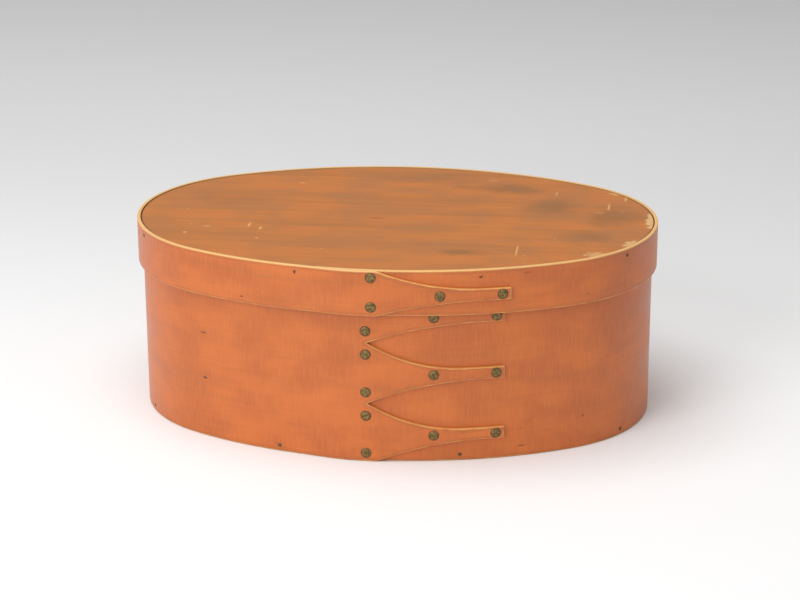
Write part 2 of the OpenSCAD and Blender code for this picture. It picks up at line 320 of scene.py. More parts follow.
# Wood grain: long streaks along the first axis, with cloudy patches and cross scrapes
grain, given, result = effect(
    "wood grain",
    [("Place", "Vector", None), ("Streak Length", "Float", 40.0), ("Streak Width", "Float", 0.9),
     ("Patch Size", "Float", 26.0), ("Scrape Width", "Float", 0.8), ("Seed", "Float", 0.0)],
    [("Streaks", "Float"), ("Patches", "Float"), ("Scrapes", "Float"), ("Figure", "Float")],
)
split = put(grain, "ShaderNodeSeparateXYZ", {0: given["Place"]}).outputs


def stretched(long_by, wide_by, detail, rough):
    """Noise that is stretched by these sizes along and across the wood."""
    vector = put(grain, "ShaderNodeCombineXYZ", {
        0: sums(grain, "DIVIDE", split[0], long_by),
        1: sums(grain, "DIVIDE", split[1], wide_by),
        2: sums(grain, "ADD", given["Seed"], sums(grain, "DIVIDE", split[2], long_by)),
    }).outputs[0]
    return put(grain, "ShaderNodeTexNoise", {
        "Vector": vector, "Scale": 1.0, "Detail": detail, "Roughness": rough,
    }).outputs[0]


streaks = stretched(given["Streak Length"], given["Streak Width"], 5.0, 0.62)
patches = stretched(given["Patch Size"], sums(grain, "MULTIPLY", given["Patch Size"], 0.6), 3.0, 0.5)
scrapes = stretched(given["Scrape Width"], 9.0, 2.0, 0.5)
figure = stretched(
    sums(grain, "MULTIPLY", given["Streak Length"], 4.0),
    sums(grain, "MULTIPLY", given["Streak Width"], 7.0), 3.0, 0.55)
for key, value in (("Streaks", streaks), ("Patches", patches), ("Scrapes", scrapes), ("Figure", figure)):
    grain.links.new(value, result.inputs[key])

# Edge wear: a ragged band along cut edges, where the wash has rubbed through, and also the darker band along
# the same edges
wear, given, result = effect(
    "edge wear",
    [("Edge Distance", "Float", 10.0), ("Place", "Vector", None), ("Width", "Float", 0.5),
     ("Raggedness", "Float", 0.5), ("Patch Size", "Float", 9.0)],
    [("Worn", "Float")],
)
scaled = put(wear, "ShaderNodeVectorMath", {0: given["Place"], 3: 0.0}, operation="SCALE")
wear.links.new(sums(wear, "DIVIDE", 1.0, given["Patch Size"]), scaled.inputs["Scale"])
rag = put(wear, "ShaderNodeTexNoise", {"Vector": scaled.outputs[0], "Scale": 1.0, "Detail": 6.0,
                                      "Roughness": 0.7}).outputs[0]
shift = sums(wear, "MULTIPLY", sums(wear, "SUBTRACT", rag, 0.5), given["Raggedness"])
reach = sums(wear, "ADD", given["Width"], sums(wear, "MULTIPLY", shift, 4.0))
worn = span(wear, sums(wear, "SUBTRACT", reach, given["Edge Distance"]), -0.15, 0.25)
wear.links.new(worn, result.inputs["Worn"])

# A small mark: a soft-edged oval at a place on the piece
mark, given, result = effect(
    "small mark",
    [("Place", "Vector", None), ("Centre", "Vector", (0, 0, 0)), ("Size", "Vector", (1, 1, 1)),
     ("Softness", "Float", 0.4), ("Raggedness", "Float", 0.3), ("Grain Size", "Float", 2.0)],
    [("Mask", "Float")],
)
away = put(mark, "ShaderNodeVectorMath", {0: given["Place"], 1: given["Centre"]}, operation="SUBTRACT")
shaped = put(mark, "ShaderNodeVectorMath", {0: away.outputs[0], 1: given["Size"]}, operation="DIVIDE")
far = put(mark, "ShaderNodeVectorMath", {0: shaped.outputs[0]}, operation="LENGTH").outputs["Value"]
fine = put(mark, "ShaderNodeVectorMath", {0: given["Place"]}, operation="SCALE")
mark.links.new(sums(mark, "DIVIDE", 1.0, given["Grain Size"]), fine.inputs["Scale"])
rag = put(mark, "ShaderNodeTexNoise", {"Vector": fine.outputs[0], "Scale": 1.0, "Detail": 4.0,
                                      "Roughness": 0.6}).outputs[0]
far = sums(mark, "ADD", far, sums(mark, "MULTIPLY", sums(mark, "SUBTRACT", rag, 0.5),
                                 sums(mark, "MULTIPLY", given["Raggedness"], 2.0)))
mask = sums(mark, "DIVIDE", sums(mark, "SUBTRACT", 1.0, far), given["Softness"], clamp=True)
mark.links.new(mask, result.inputs["Mask"])


def marks(tree, place, rows, softness=0.4, ragged=0.3, size=2.0):
    """The strongest of several small marks, each given as centre, size and strength."""
    total = 0.0
    for centre, extent, strength in rows:
        spot = put(tree, "ShaderNodeGroup", node_tree=mark)
        tree.links.new(place, spot.inputs["Place"])
        spot.inputs["Centre"].default_value = centre
        spot.inputs["Size"].default_value = extent
        spot.inputs["Softness"].default_value = softness
        spot.inputs["Raggedness"].default_value = ragged
        spot.inputs["Grain Size"].default_value = size
        total = sums(tree, "MAXIMUM", total, sums(tree, "MULTIPLY", spot.outputs[0], strength))
    return total


def washed_maple(name, flecks, top_z, seed, rim_highlight=0.0):
    """Maple with a worn orange wash outside and bare wood inside, grain along the strip."""
    material = bpy.data.materials.new(name)
    material.use_nodes = True
    tree = material.node_tree
    shader = tree.nodes["Principled BSDF"]
    place = put(tree, "ShaderNodeAttribute", attribute_name="strip").outputs["Vector"]
    edge = put(tree, "ShaderNodeAttribute", attribute_name="edge").outputs["Fac"]
    outside = put(tree, "ShaderNodeAttribute", attribute_name="painted").outputs["Fac"]
    wood = put(tree, "ShaderNodeGroup", node_tree=grain)
    tree.links.new(place, wood.inputs["Place"])
    wood.inputs["Seed"].default_value = seed
    lines, patch, scrape, figure = wood.outputs
    wash = blend_colours(tree, span(tree, patch, 0.35, 0.66), (0.50, 0.116, 0.0185, 1),
                         (0.60, 0.148, 0.0235, 1))
    wash = blend_colours(tree, span(tree, lines, 0.5, 0.78, 0, 0.32), wash, (0.34, 0.075, 0.013, 1))
    wash = blend_colours(tree, span(tree, figure, 0.52, 0.75, 0, 0.30), wash, (0.36, 0.105, 0.018, 1))
    wash = blend_colours(tree, span(tree, scrape, 0.42, 0.66, 0, 0.22), wash, (0.68, 0.19, 0.036, 1))
    # A darker ragged band along every cut edge of the wash.
    dark_edge_band = put(tree, "ShaderNodeGroup", node_tree=wear)
    tree.links.new(edge, dark_edge_band.inputs["Edge Distance"])
    tree.links.new(place, dark_edge_band.inputs["Place"])
    dark_edge_band.inputs["Width"].default_value = 1.6
    dark_edge_band.inputs["Raggedness"].default_value = 1.1
    dark_edge_band.inputs["Patch Size"].default_value = 16
    wash = blend_colours(tree, sums(tree, "MULTIPLY", dark_edge_band.outputs[0], 0.35), wash,
                         (0.37, 0.105, 0.02, 1))
    rubbed = put(tree, "ShaderNodeGroup", node_tree=wear)
    tree.links.new(edge, rubbed.inputs["Edge Distance"])
    tree.links.new(place, rubbed.inputs["Place"])
    rubbed.inputs["Width"].default_value = 0.34
    rubbed.inputs["Raggedness"].default_value = 0.3
    rubbed.inputs["Patch Size"].default_value = 7
    paint = blend_colours(tree, sums(tree, "MULTIPLY", rubbed.outputs[0], 0.72), wash,
                          (0.80, 0.42, 0.13, 1))
    # Painted highlight: a paler band along the top edge, standing in for the light caught on the rounded edge.
    if rim_highlight:
        height = put(tree, "ShaderNodeSeparateXYZ", {0: place}).outputs[1]
        highlight_band = span(tree, height, top_z - 0.9, top_z - 0.2, 0, rim_highlight)
        paint = blend_colours(tree, highlight_band, paint, (0.84, 0.52, 0.19, 1))
    dark = marks(tree, place, flecks)
    paint = blend_colours(tree, dark, paint, (0.075, 0.03, 0.012, 1))
    bare = blend_colours(tree, span(tree, lines, 0.35, 0.7), (0.55, 0.33, 0.145, 1), (0.43, 0.235, 0.09, 1))
    bare = blend_colours(tree, span(tree, patch, 0.4, 0.7, 0, 0.5), bare, (0.40, 0.20, 0.075, 1))
    tree.links.new(blend_colours(tree, outside, bare, paint), shader.inputs["Base Color"])
    gloss = span(tree, patch, 0.3, 0.7, 0.36, 0.47)
    gloss = sums(tree, "ADD", gloss, sums(tree, "MULTIPLY", rubbed.outputs[0], 0.08))
    tree.links.new(sums(tree, "MAXIMUM", gloss, span(tree, outside, 0, 1, 0.72, 0.0)),
                   shader.inputs["Roughness"])
    shader.inputs["Specular IOR Level"].default_value = 0.5
    shader.inputs["Coat Weight"].default_value = 0.12
    shader.inputs["Coat Roughness"].default_value = 0.28
    relief = sums(tree, "ADD", sums(tree, "MULTIPLY", lines, 0.8),
                  sums(tree, "ADD", sums(tree, "MULTIPLY", scrape, 0.5), patch))
    relief = sums(tree, "SUBTRACT", relief, sums(tree, "MULTIPLY", dark, 0.8))
    bump = put(tree, "ShaderNodeBump", {"Height": relief, "Strength": 0.35, "Distance": 0.08 * MM})
    tree.links.new(bump.outputs[0], shader.inputs["Normal"])
    return material


box_path = strip_path(BOX_FORM, BOX_FORM, BAND_T, -40.0, BOX_TIP_X)
half_tip = TIP_W / 2
low_levels = [(LOWER_LEVEL_X, z - half_tip) for z in TIPS]
high_levels = [(UPPER_LEVEL_X, z + half_tip) for z in TIPS]
low_roots = [(EDGE_X, 0.0), (NOTCH_X, NOTCHES[0]), (NOTCH_X, NOTCHES[1])]
high_roots = [(NOTCH_X, NOTCHES[0]), (NOTCH_X, NOTCHES[1]), (EDGE_X, BOX_HEIGHT)]
box_fingers = [((low_roots[i], low_levels[i]), (high_roots[i], high_levels[i])) for i in range(3)]
box_band = strip_object("box_band_bent", box_path, 0.0, BOX_HEIGHT, box_fingers)


def wall_s(path, x):
    """Distance along the strip of a point on the front of the oval, left or right of the lap."""
    s = np.linspace(0, path["end"], 6000)
    px, py, heading = along(path, s)
    px = px + path["t"] * np.sin(heading)
    front = (py < 0) & (s < path["ramp"]) & ((s > path["end"] / 2) if x < 0 else (s < path["end"] / 2))
    return float(s[front][np.argmin(abs(px[front] - x))])


# Dark flecks and pin knots in the wood, left and right of the lap
box_flecks = [
    ((wall_s(box_path, -80), 49.8, 1.7), (1.9, 0.45, 3), 0.85),
    ((wall_s(box_path, -79.9), 28.2, 1.7), (1.5, 0.6, 3), 0.9),
    ((wall_s(box_path, 90.6), 14.9, 1.7), (0.8, 0.6, 3), 0.6),
    ((wall_s(box_path, 64), 4.8, 1.7), (2.2, 0.4, 3), 0.7),
]
box_band.data.materials.append(washed_maple("washed maple, box", box_flecks, BOX_HEIGHT, 0.0))
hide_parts("box_band")
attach(box_band, "box")


# The bottom board.
# A flat pine board cut to the oval, let into the band from below and pegged through it. It
# was never coloured.
bottom_low, bottom_high = (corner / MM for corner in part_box("box_bottom"))
BOARD_GAP = 0.12


def oval_ring(front, back, inset, n=40):
    """Points round an oval of four arcs, brought in by a distance."""
    points = []
    for oval, low, flip in ((front, -1, 1), (back, 1, -1)):
        end_x, side_y, side_r, turn = oval_arcs(oval)
        side = [(h, 0.0, side_y, side_r) for h in np.linspace(-turn, turn, n, endpoint=False)]
        right = [(h, end_x, 0.0, oval[2]) for h in np.linspace(turn, math.pi / 2, n // 2, endpoint=False)]
        left = [(h, -end_x, 0.0, oval[2]) for h in np.linspace(-math.pi / 2, -turn, n // 2, endpoint=False)]
        for h, cx, cy, r in [*left, *side, *right]:
            x, y = cx + (r - inset) * math.sin(h), cy - (r - inset) * math.cos(h)
            points.append((flip * x, flip * y))
    return points


def board_object(name, front, back, z0, z1, worn):
    """A flat oval board with rounded upper and lower edges."""
    rings = []
    arc = np.radians([0, 30, 60, 90])
    for inset, z in (
        [(50, z0), (30, z0), (12, z0), (3, z0), (worn, z0)]
        + [(worn * (1 - math.sin(a)), z0 + worn * (1 - math.cos(a))) for a in arc[1:]]
        + [(worn * (1 - math.cos(a)), z1 - worn * (1 - math.sin(a))) for a in arc]
        + [(1.5, z1), (3, z1), (8, z1), (16, z1), (30, z1), (50, z1)]
    ):
        rings.append((inset, z))
    points, edges = [], []
    for inset, z in rings:
        for x, y in oval_ring(front, back, inset):
            points.append((x * MM, y * MM, z * MM))
            edges.append(inset)
    n = len(points) // len(rings)
    faces = []
    for j in range(len(rings) - 1):
        for k in range(n):
            m = (k + 1) % n
            faces.append((j * n + k, j * n + m, (j + 1) * n + m, (j + 1) * n + k))
    faces.append(tuple(range(n))[::-1])
    faces.append(tuple((len(rings) - 1) * n + k for k in range(n)))
    mesh = bpy.data.meshes.new(name)
    mesh.from_pydata(points, [], faces)
    layer = mesh.attributes.new("edge", "FLOAT", "POINT")
    layer.data.foreach_set("value", np.array(edges, np.float32))
    bm = bmesh.new()
    bm.from_mesh(mesh)
    bmesh.ops.recalc_face_normals(bm, faces=bm.faces)
    for face in bm.faces:
        face.smooth = True
    bm.to_mesh(mesh)
    bm.free()
    piece = bpy.data.objects.new(name, mesh)
    bpy.context.scene.collection.objects.link(piece)
    even_shading(piece)
    return piece


def in_mm(tree):
    """Object coordinates in millimetres."""
    place = put(tree, "ShaderNodeTexCoord").outputs["Object"]
    return put(tree, "ShaderNodeVectorMath", {0: place, "Scale": 1 / MM}, operation="SCALE").outputs[0]


def shrunk(oval, by):
    return tuple(value - by for value in oval)


bottom = board_object("box_bottom_board", shrunk(BOX_FORM, BOARD_GAP), shrunk(BOX_FORM, BOARD_GAP),
                      bottom_low.z, bottom_high.z, 0.35)
bare_pine = bpy.data.materials.new("bare pine")
bare_pine.use_nodes = True
tree = bare_pine.node_tree
shader = tree.nodes["Principled BSDF"]
place = in_mm(tree)
wood = put(tree, "ShaderNodeGroup", node_tree=grain)
tree.links.new(place, wood.inputs["Place"])
wood.inputs["Streak Length"].default_value = 90
wood.inputs["Streak Width"].default_value = 1.6
wood.inputs["Patch Size"].default_value = 45
wood.inputs["Scrape Width"].default_value = 2.5
lines, patch, scrape, figure = wood.outputs
colour = blend_colours(tree, span(tree, figure, 0.35, 0.68), (0.60, 0.39, 0.185, 1), (0.47, 0.265, 0.105, 1))
colour = blend_colours(tree, span(tree, lines, 0.5, 0.75, 0, 0.55), colour, (0.36, 0.185, 0.07, 1))
colour = blend_colours(tree, span(tree, patch, 0.45, 0.7, 0, 0.4), colour, (0.33, 0.19, 0.085, 1))
edge = put(tree, "ShaderNodeAttribute", attribute_name="edge").outputs["Fac"]
# Painted shade: the board is painted darker towards its edge, in the corner where it meets the band.
colour = blend_colours(tree, span(tree, edge, 0.2, 5.0, 0.55, 0.0), colour, (0.20, 0.10, 0.04, 1))
tree.links.new(colour, shader.inputs["Base Color"])
tree.links.new(span(tree, lines, 0.3, 0.7, 0.62, 0.8), shader.inputs["Roughness"])
bump = put(tree, "ShaderNodeBump", {"Height": lines, "Strength": 0.5, "Distance": 0.15 * MM})
tree.links.new(bump.outputs[0], shader.inputs["Normal"])
bottom.data.materials.append(bare_pine)
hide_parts("box_bottom")
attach(bottom, "box")


# The tacks of the box fingers.
# Small copper tacks, two at the root, one in the middle and one at the end of each finger.
# The heads are hammered flat and have gone dull, and the points are turned over inside.
HEAD_D, HEAD_H, SHANK_D = 4.2, 0.35, 1.5
TURNED_L, TURNED_T = 2.6, 0.5
TACK_BITE = 4.0

tack_tree = bpy.data.node_groups.new("copper tacks", "GeometryNodeTree")
for key, kind, value in (
    ("Geometry", "Geometry", None), ("Head Diameter", "Float", HEAD_D * MM),
    ("Head Height", "Float", HEAD_H * MM), ("Shank Diameter", "Float", SHANK_D * MM),
    ("Lap Thickness", "Float", 3.45 * MM), ("Seed", "Float", 4.0),
    ("Metal", "Material", None), ("Dark Ring", "Material", None),
):
    socket = tack_tree.interface.new_socket(key, in_out="INPUT", socket_type="NodeSocket" + kind)
    if value is not None:
        socket.default_value = value
tack_tree.interface.new_socket("Geometry", in_out="OUTPUT", socket_type="NodeSocketGeometry")
given = put(tack_tree, "NodeGroupInput").outputs
radius = sums(tack_tree, "MULTIPLY", given["Head Diameter"], 0.5)
spot = put(tack_tree, "GeometryNodeInputPosition").outputs[0]
spot_xyz = put(tack_tree, "ShaderNodeSeparateXYZ", {0: spot}).outputs
out_by = sums(tack_tree, "SQRT", sums(tack_tree, "ADD", sums(tack_tree, "POWER", spot_xyz[0], 2.0),
                                     sums(tack_tree, "POWER", spot_xyz[1], 2.0)))
share = sums(tack_tree, "DIVIDE", out_by, radius)
dome = sums(tack_tree, "MULTIPLY", given["Head Height"],
            sums(tack_tree, "SUBTRACT", 1.0, sums(tack_tree, "MULTIPLY",
                 sums(tack_tree, "POWER", share, 3.0), 0.62)))
is_top = sums(tack_tree, "GREATER_THAN", spot_xyz[2], 0.0)
head = put(tack_tree, "GeometryNodeMeshCylinder", {
    "Vertices": 28, "Side Segments": 1, "Fill Segments": 5, "Radius": radius,
    "Depth": given["Head Height"]}, fill_type="NGON").outputs["Mesh"]
head = put(tack_tree, "GeometryNodeSetPosition", {
    "Geometry": head,
    "Position": put(tack_tree, "ShaderNodeCombineXYZ", {
        0: spot_xyz[0], 1: spot_xyz[1], 2: sums(tack_tree, "MULTIPLY", dome, is_top)}).outputs[0],
}).outputs[0]
# A dark disc a little wider than each head, laid just above the band, darkens a ring round the head.
ring_disc = put(tack_tree, "GeometryNodeMeshCircle", {
    "Vertices": 28, "Radius": sums(tack_tree, "ADD", radius, 0.32 * MM)}, fill_type="TRIANGLE_FAN").outputs[0]
ring_disc = put(tack_tree, "GeometryNodeTransform", {
    "Geometry": ring_disc, "Translation": (0, 0, 0.045 * MM)}).outputs[0]
ring_disc = put(tack_tree, "GeometryNodeStoreNamedAttribute", {
    "Geometry": ring_disc, "Name": "dark_ring", "Value": 1.0}, data_type="FLOAT", domain="FACE").outputs[0]
shank = put(tack_tree, "GeometryNodeMeshCylinder", {
    "Vertices": 12, "Radius": sums(tack_tree, "MULTIPLY", given["Shank Diameter"], 0.5),
    "Depth": 1.0}).outputs["Mesh"]
shank = put(tack_tree, "GeometryNodeTransform", {"Geometry": shank, "Translation": (0, 0, -0.5)}).outputs[0]
turned = put(tack_tree, "GeometryNodeMeshCube", {
    "Size": (TURNED_L * MM, SHANK_D * MM * 0.9, TURNED_T * MM), "Vertices X": 5, "Vertices Y": 3,
    "Vertices Z": 2}).outputs["Mesh"]
down = sums(tack_tree, "MULTIPLY", given["Lap Thickness"], -1.0)
turned = put(tack_tree, "GeometryNodeTransform", {
    "Geometry": turned,
    "Translation": put(tack_tree, "ShaderNodeCombineXYZ", {
        0: (TURNED_L / 2 - SHANK_D / 2) * MM, 2: sums(tack_tree, "ADD", down, 0.05 * MM)}).outputs[0],
}).outputs[0]
facing = put(tack_tree, "GeometryNodeInputNamedAttribute", {"Name": "out"}, data_type="FLOAT_VECTOR")
level = put(tack_tree, "GeometryNodeInputNamedAttribute", {"Name": "level"}, data_type="FLOAT_VECTOR")
grip = put(tack_tree, "GeometryNodeInputNamedAttribute", {"Name": "grip"}, data_type="FLOAT")
clinched = put(tack_tree, "GeometryNodeInputNamedAttribute", {"Name": "clinched"}, data_type="BOOLEAN")
aim = put(tack_tree, "FunctionNodeAxesToRotation", {
    0: facing.outputs[0], 1: level.outputs[0]}, primary_axis="Z", secondary_axis="X").outputs[0]
joined = put(tack_tree, "GeometryNodeJoinGeometry")
heads = put(tack_tree, "GeometryNodeJoinGeometry")
for part in (head, ring_disc):
    tack_tree.links.new(part, heads.inputs[0])
for shape, extra in (
    (heads.outputs[0], {}),
    (shank, {"Scale": put(tack_tree, "ShaderNodeCombineXYZ", {0: 1.0, 1: 1.0, 2: grip.outputs[0]}).outputs[0]}),
    (turned, {"Selection": clinched.outputs[0]}),
):
    placed = put(tack_tree, "GeometryNodeInstanceOnPoints", {
        "Points": given["Geometry"], "Instance": shape, "Rotation": aim, **extra})
    tack_tree.links.new(placed.outputs[0], joined.inputs[0])
real = put(tack_tree, "GeometryNodeRealizeInstances", {0: joined.outputs[0]}).outputs[0]
rough = put(tack_tree, "ShaderNodeTexNoise", {
    "Vector": put(tack_tree, "GeometryNodeInputPosition").outputs[0], "W": given["Seed"],
    "Scale": 700.0, "Detail": 2.0}, noise_dimensions="4D").outputs["Color"]
rough = put(tack_tree, "ShaderNodeVectorMath", {0: rough, 1: (0.5, 0.5, 0.5)}, operation="SUBTRACT").outputs[0]
rough = put(tack_tree, "ShaderNodeVectorMath", {0: rough, "Scale": 0.42 * MM}, operation="SCALE").outputs[0]
ring_mask = put(tack_tree, "GeometryNodeInputNamedAttribute", {"Name": "dark_ring"}, data_type="FLOAT").outputs[0]
real = put(tack_tree, "GeometryNodeSetPosition", {
    "Geometry": real, "Offset": rough, "Selection": sums(tack_tree, "LESS_THAN", ring_mask, 0.5)}).outputs[0]
real = put(tack_tree, "GeometryNodeSetShadeSmooth", {"Geometry": real}).outputs[0]
real = put(tack_tree, "GeometryNodeSetMaterial", {"Geometry": real, "Material": given["Metal"]}).outputs[0]
real = put(tack_tree, "GeometryNodeSetMaterial", {
    "Geometry": real, "Material": given["Dark Ring"],
    "Selection": sums(tack_tree, "GREATER_THAN", ring_mask, 0.5)}).outputs[0]
put(tack_tree, "NodeGroupOutput", {0: real})

dull_copper = bpy.data.materials.new("dull copper")
dull_copper.use_nodes = True
tree = dull_copper.node_tree
shader = tree.nodes["Principled BSDF"]
blotch = put(tree, "ShaderNodeTexNoise", {"Vector": in_mm(tree), "Scale": 0.9, "Detail": 5.0,
                                         "Roughness": 0.65}).outputs[0]
colour = blend_colours(tree, span(tree, blotch, 0.38, 0.62), (0.115, 0.072, 0.022, 1),
                       (0.27, 0.185, 0.062, 1))
tree.links.new(colour, shader.inputs["Base Color"])
tree.links.new(span(tree, blotch, 0.35, 0.65, 0.62, 0.42), shader.inputs["Roughness"])
shader.inputs["Metallic"].default_value = 0.55
bump = put(tree, "ShaderNodeBump", {"Height": blotch, "Strength": 0.4, "Distance": 0.1 * MM})
tree.links.new(bump.outputs[0], shader.inputs["Normal"])

# The colour of the dark ring round each tack head.
dark_ring = bpy.data.materials.new("dark ring round the tacks")
dark_ring.use_nodes = True
tree = dark_ring.node_tree
shader = tree.nodes["Principled BSDF"]
blotch = put(tree, "ShaderNodeTexNoise", {"Vector": in_mm(tree), "Scale": 1.6, "Detail": 4.0}).outputs[0]
colour = blend_colours(tree, span(tree, blotch, 0.4, 0.65), (0.10, 0.034, 0.01, 1), (0.26, 0.075, 0.017, 1))
tree.links.new(colour, shader.inputs["Base Color"])
shader.inputs["Roughness"].default_value = 0.6


def set_named(modifier, tree, values):
    """Sets a modifier's inputs by the identifiers of the sockets with these names."""
    for item in tree.interface.items_tree:
        if item.item_type == "SOCKET" and item.in_out == "INPUT" and item.name in values:
            modifier[item.identifier] = values[item.name]


def grown_from_points(name, rows, tree, values, body):
    """Runs a tree on points with a direction each and keeps the result as a plain mesh."""
    mesh = bpy.data.meshes.new(name)
    mesh.from_pydata([row["at"] for row in rows], [], [])
    for key in ("out", "level"):
        layer = mesh.attributes.new(key, "FLOAT_VECTOR", "POINT")
        layer.data.foreach_set("vector", np.array([row[key] for row in rows], np.float32).ravel())
    layer = mesh.attributes.new("grip", "FLOAT", "POINT")
    layer.data.foreach_set("value", np.array([row["grip"] for row in rows], np.float32))
    layer = mesh.attributes.new("clinched", "BOOLEAN", "POINT")
    layer.data.foreach_set("value", [row.get("clinched", False) for row in rows])
    points = bpy.data.objects.new(name + "_points", mesh)
    bpy.context.scene.collection.objects.link(points)
    modifier = points.modifiers.new("pieces", "NODES")
    modifier.node_group = tree
    set_named(modifier, tree, values)
    graph = bpy.context.evaluated_depsgraph_get()
    made = bpy.data.meshes.new_from_object(points.evaluated_get(graph))
    bpy.data.objects.remove(points)
    made.name = name
    piece = bpy.data.objects.new(name, made)
    bpy.context.scene.collection.objects.link(piece)
    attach(piece, body)
    return piece


def on_wall(path, s, z, depth, grip, clinched=False):
    """A point on a strip with the wall's outward direction there."""
    x, y, heading = (float(v) for v in along(path, np.array(s)))
    out = (math.sin(heading), -math.cos(heading), 0.0)
    return {
        "at": ((x + depth * out[0]) * MM, (y + depth * out[1]) * MM, z * MM),
        "out": out, "level": (math.cos(heading), math.sin(heading), 0.0),
        "grip": grip * MM, "clinched": clinched,
    }


def finger_tacks(path, root_x, tip_x, root_z, tip_z, pitch, in_board):
    """Two tacks at the root of a finger, one in its middle and one at its end."""
    lap = 2 * path["t"] + LAP_GAP
    spots = [(root_x, root_z - pitch / 2), (root_x, root_z + pitch / 2), (root_x + 29.9, tip_z),
             (tip_x - 3.7, tip_z)]
    rows = []
    for x, z in spots:
        driven = in_board(z)
        rows.append(on_wall(path, lap_s(path, x), z, path["t"], lap + (TACK_BITE if driven else 0), not driven))
    return rows


root_heights = (TIPS[0], sum(NOTCHES) / 2, (NOTCHES[1] + BOX_HEIGHT) / 2)
box_tack_rows = []
for root_z, tip_z in zip(root_heights, TIPS):
    box_tack_rows += finger_tacks(box_path, -3.7, BOX_TIP_X, root_z, tip_z, 17.7,
                                  lambda z: z < bottom_high.z)
box_tacks = grown_from_points("box_tacks", box_tack_rows, tack_tree, {
    "Lap Thickness": (2 * BAND_T + LAP_GAP) * MM, "Seed": 4.0, "Metal": dull_copper,
    "Dark Ring": dark_ring}, "box")
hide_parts("upper_finger_tacks", "middle_finger_tacks", "lower_finger_tacks")


# The pegs of the bottom.
# Square pegs whittled almost round and driven through the band into the edge of the board,
# then cut off flush. The end grain has drunk the wash and gone dark.
PEG_D, PEG_BITE = 2.0, 9.0

peg_tree = bpy.data.node_groups.new("wooden pegs", "GeometryNodeTree")
for key, kind, value in (("Geometry", "Geometry", None), ("Peg Diameter", "Float", PEG_D * MM),
                         ("Proud", "Float", 0.04 * MM), ("Seed", "Float", 2.0), ("Wood", "Material", None)):
    socket = peg_tree.interface.new_socket(key, in_out="INPUT", socket_type="NodeSocket" + kind)
    if value is not None:
        socket.default_value = value
peg_tree.interface.new_socket("Geometry", in_out="OUTPUT", socket_type="NodeSocketGeometry")
given = put(peg_tree, "NodeGroupInput").outputs
peg = put(peg_tree, "GeometryNodeMeshCylinder", {
    "Vertices": 14, "Side Segments": 3, "Fill Segments": 3,
    "Radius": sums(peg_tree, "MULTIPLY", given["Peg Diameter"], 0.5), "Depth": 1.0}).outputs["Mesh"]
peg = put(peg_tree, "GeometryNodeTransform", {"Geometry": peg, "Translation": (0, 0, -0.5)}).outputs[0]
facing = put(peg_tree, "GeometryNodeInputNamedAttribute", {"Name": "out"}, data_type="FLOAT_VECTOR")
level = put(peg_tree, "GeometryNodeInputNamedAttribute", {"Name": "level"}, data_type="FLOAT_VECTOR")
grip = put(peg_tree, "GeometryNodeInputNamedAttribute", {"Name": "grip"}, data_type="FLOAT")
aim = put(peg_tree, "FunctionNodeAxesToRotation", {
    0: facing.outputs[0], 1: level.outputs[0]}, primary_axis="Z", secondary_axis="X").outputs[0]
length = put(peg_tree, "ShaderNodeCombineXYZ", {0: 1.0, 1: 0.85, 2: grip.outputs[0]}).outputs[0]
placed = put(peg_tree, "GeometryNodeInstanceOnPoints", {
    "Points": given["Geometry"], "Instance": peg, "Rotation": aim, "Scale": length}).outputs[0]
real = put(peg_tree, "GeometryNodeRealizeInstances", {0: placed}).outputs[0]
rough = put(peg_tree, "ShaderNodeTexNoise", {
    "Vector": put(peg_tree, "GeometryNodeInputPosition").outputs[0], "W": given["Seed"],
    "Scale": 600.0, "Detail": 2.0}, noise_dimensions="4D").outputs["Color"]
rough = put(peg_tree, "ShaderNodeVectorMath", {0: rough, 1: (0.5, 0.5, 0.5)}, operation="SUBTRACT").outputs[0]
rough = put(peg_tree, "ShaderNodeVectorMath", {0: rough, "Scale": 0.35 * MM}, operation="SCALE").outputs[0]
real = put(peg_tree, "GeometryNodeSetPosition", {"Geometry": real, "Offset": rough}).outputs[0]
real = put(peg_tree, "GeometryNodeSetMaterial", {"Geometry": real, "Material": given["Wood"]}).outputs[0]
put(peg_tree, "NodeGroupOutput", {0: real})

end_grain = bpy.data.materials.new("dark end grain")
end_grain.use_nodes = True
tree = end_grain.node_tree
shader = tree.nodes["Principled BSDF"]
blotch = put(tree, "ShaderNodeTexNoise", {"Vector": in_mm(tree), "Scale": 1.4, "Detail": 4.0}).outputs[0]
colour = blend_colours(tree, span(tree, blotch, 0.38, 0.62), (0.055, 0.026, 0.011, 1), (0.17, 0.075, 0.026, 1))
tree.links.new(colour, shader.inputs["Base Color"])
tree.links.new(span(tree, blotch, 0.3, 0.7, 0.55, 0.75), shader.inputs["Roughness"])
bump = put(tree, "ShaderNodeBump", {"Height": blotch, "Strength": 0.5, "Distance": 0.12 * MM})
tree.links.new(bump.outputs[0], shader.inputs["Normal"])


def peg_row(path, front_xs, turns, front, back, z):
    """Two pegs on each long side and two round each end, all at the board's middle height."""
    rows = []
    t = path["t"]
    grip = t + PEG_BITE
    for oval, flip in ((front, 1), (back, -1)):
        end_x, side_y, side_r, _ = oval_arcs(oval)
        for x in front_xs:
            turn = math.asin(x / (side_r + t))
            rows.append((math.sin(turn), -math.cos(turn), 0.0, side_y, side_r, flip))
        for side, turn in zip((-1, 1), turns):
            head = math.radians(turn)
            rows.append((side * math.cos(head), -math.sin(head), side * end_x, 0.0, oval[2], flip))
    found = []
    for nx, ny, cx, cy, r, flip in rows:
        reach = r + t + 0.03
        found.append({
            "at": ((cx + reach * nx) * MM, flip * (cy + reach * ny) * MM, z * MM),
            "out": (nx, flip * ny, 0.0), "level": (-flip * ny, nx, 0.0), "grip": grip * MM,
        })
    return found


PEG_TURNS = (30.0, 35.0)
bottom_peg_rows = peg_row(box_path, (-43.8, 37.4), PEG_TURNS, BOX_FORM, BOX_FORM,
                          (bottom_low.z + bottom_high.z) / 2)
bottom_pegs = grown_from_points("bottom_pegs_whittled", bottom_peg_rows, peg_tree,
                                {"Wood": end_grain}, "box")
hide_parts("bottom_pegs")
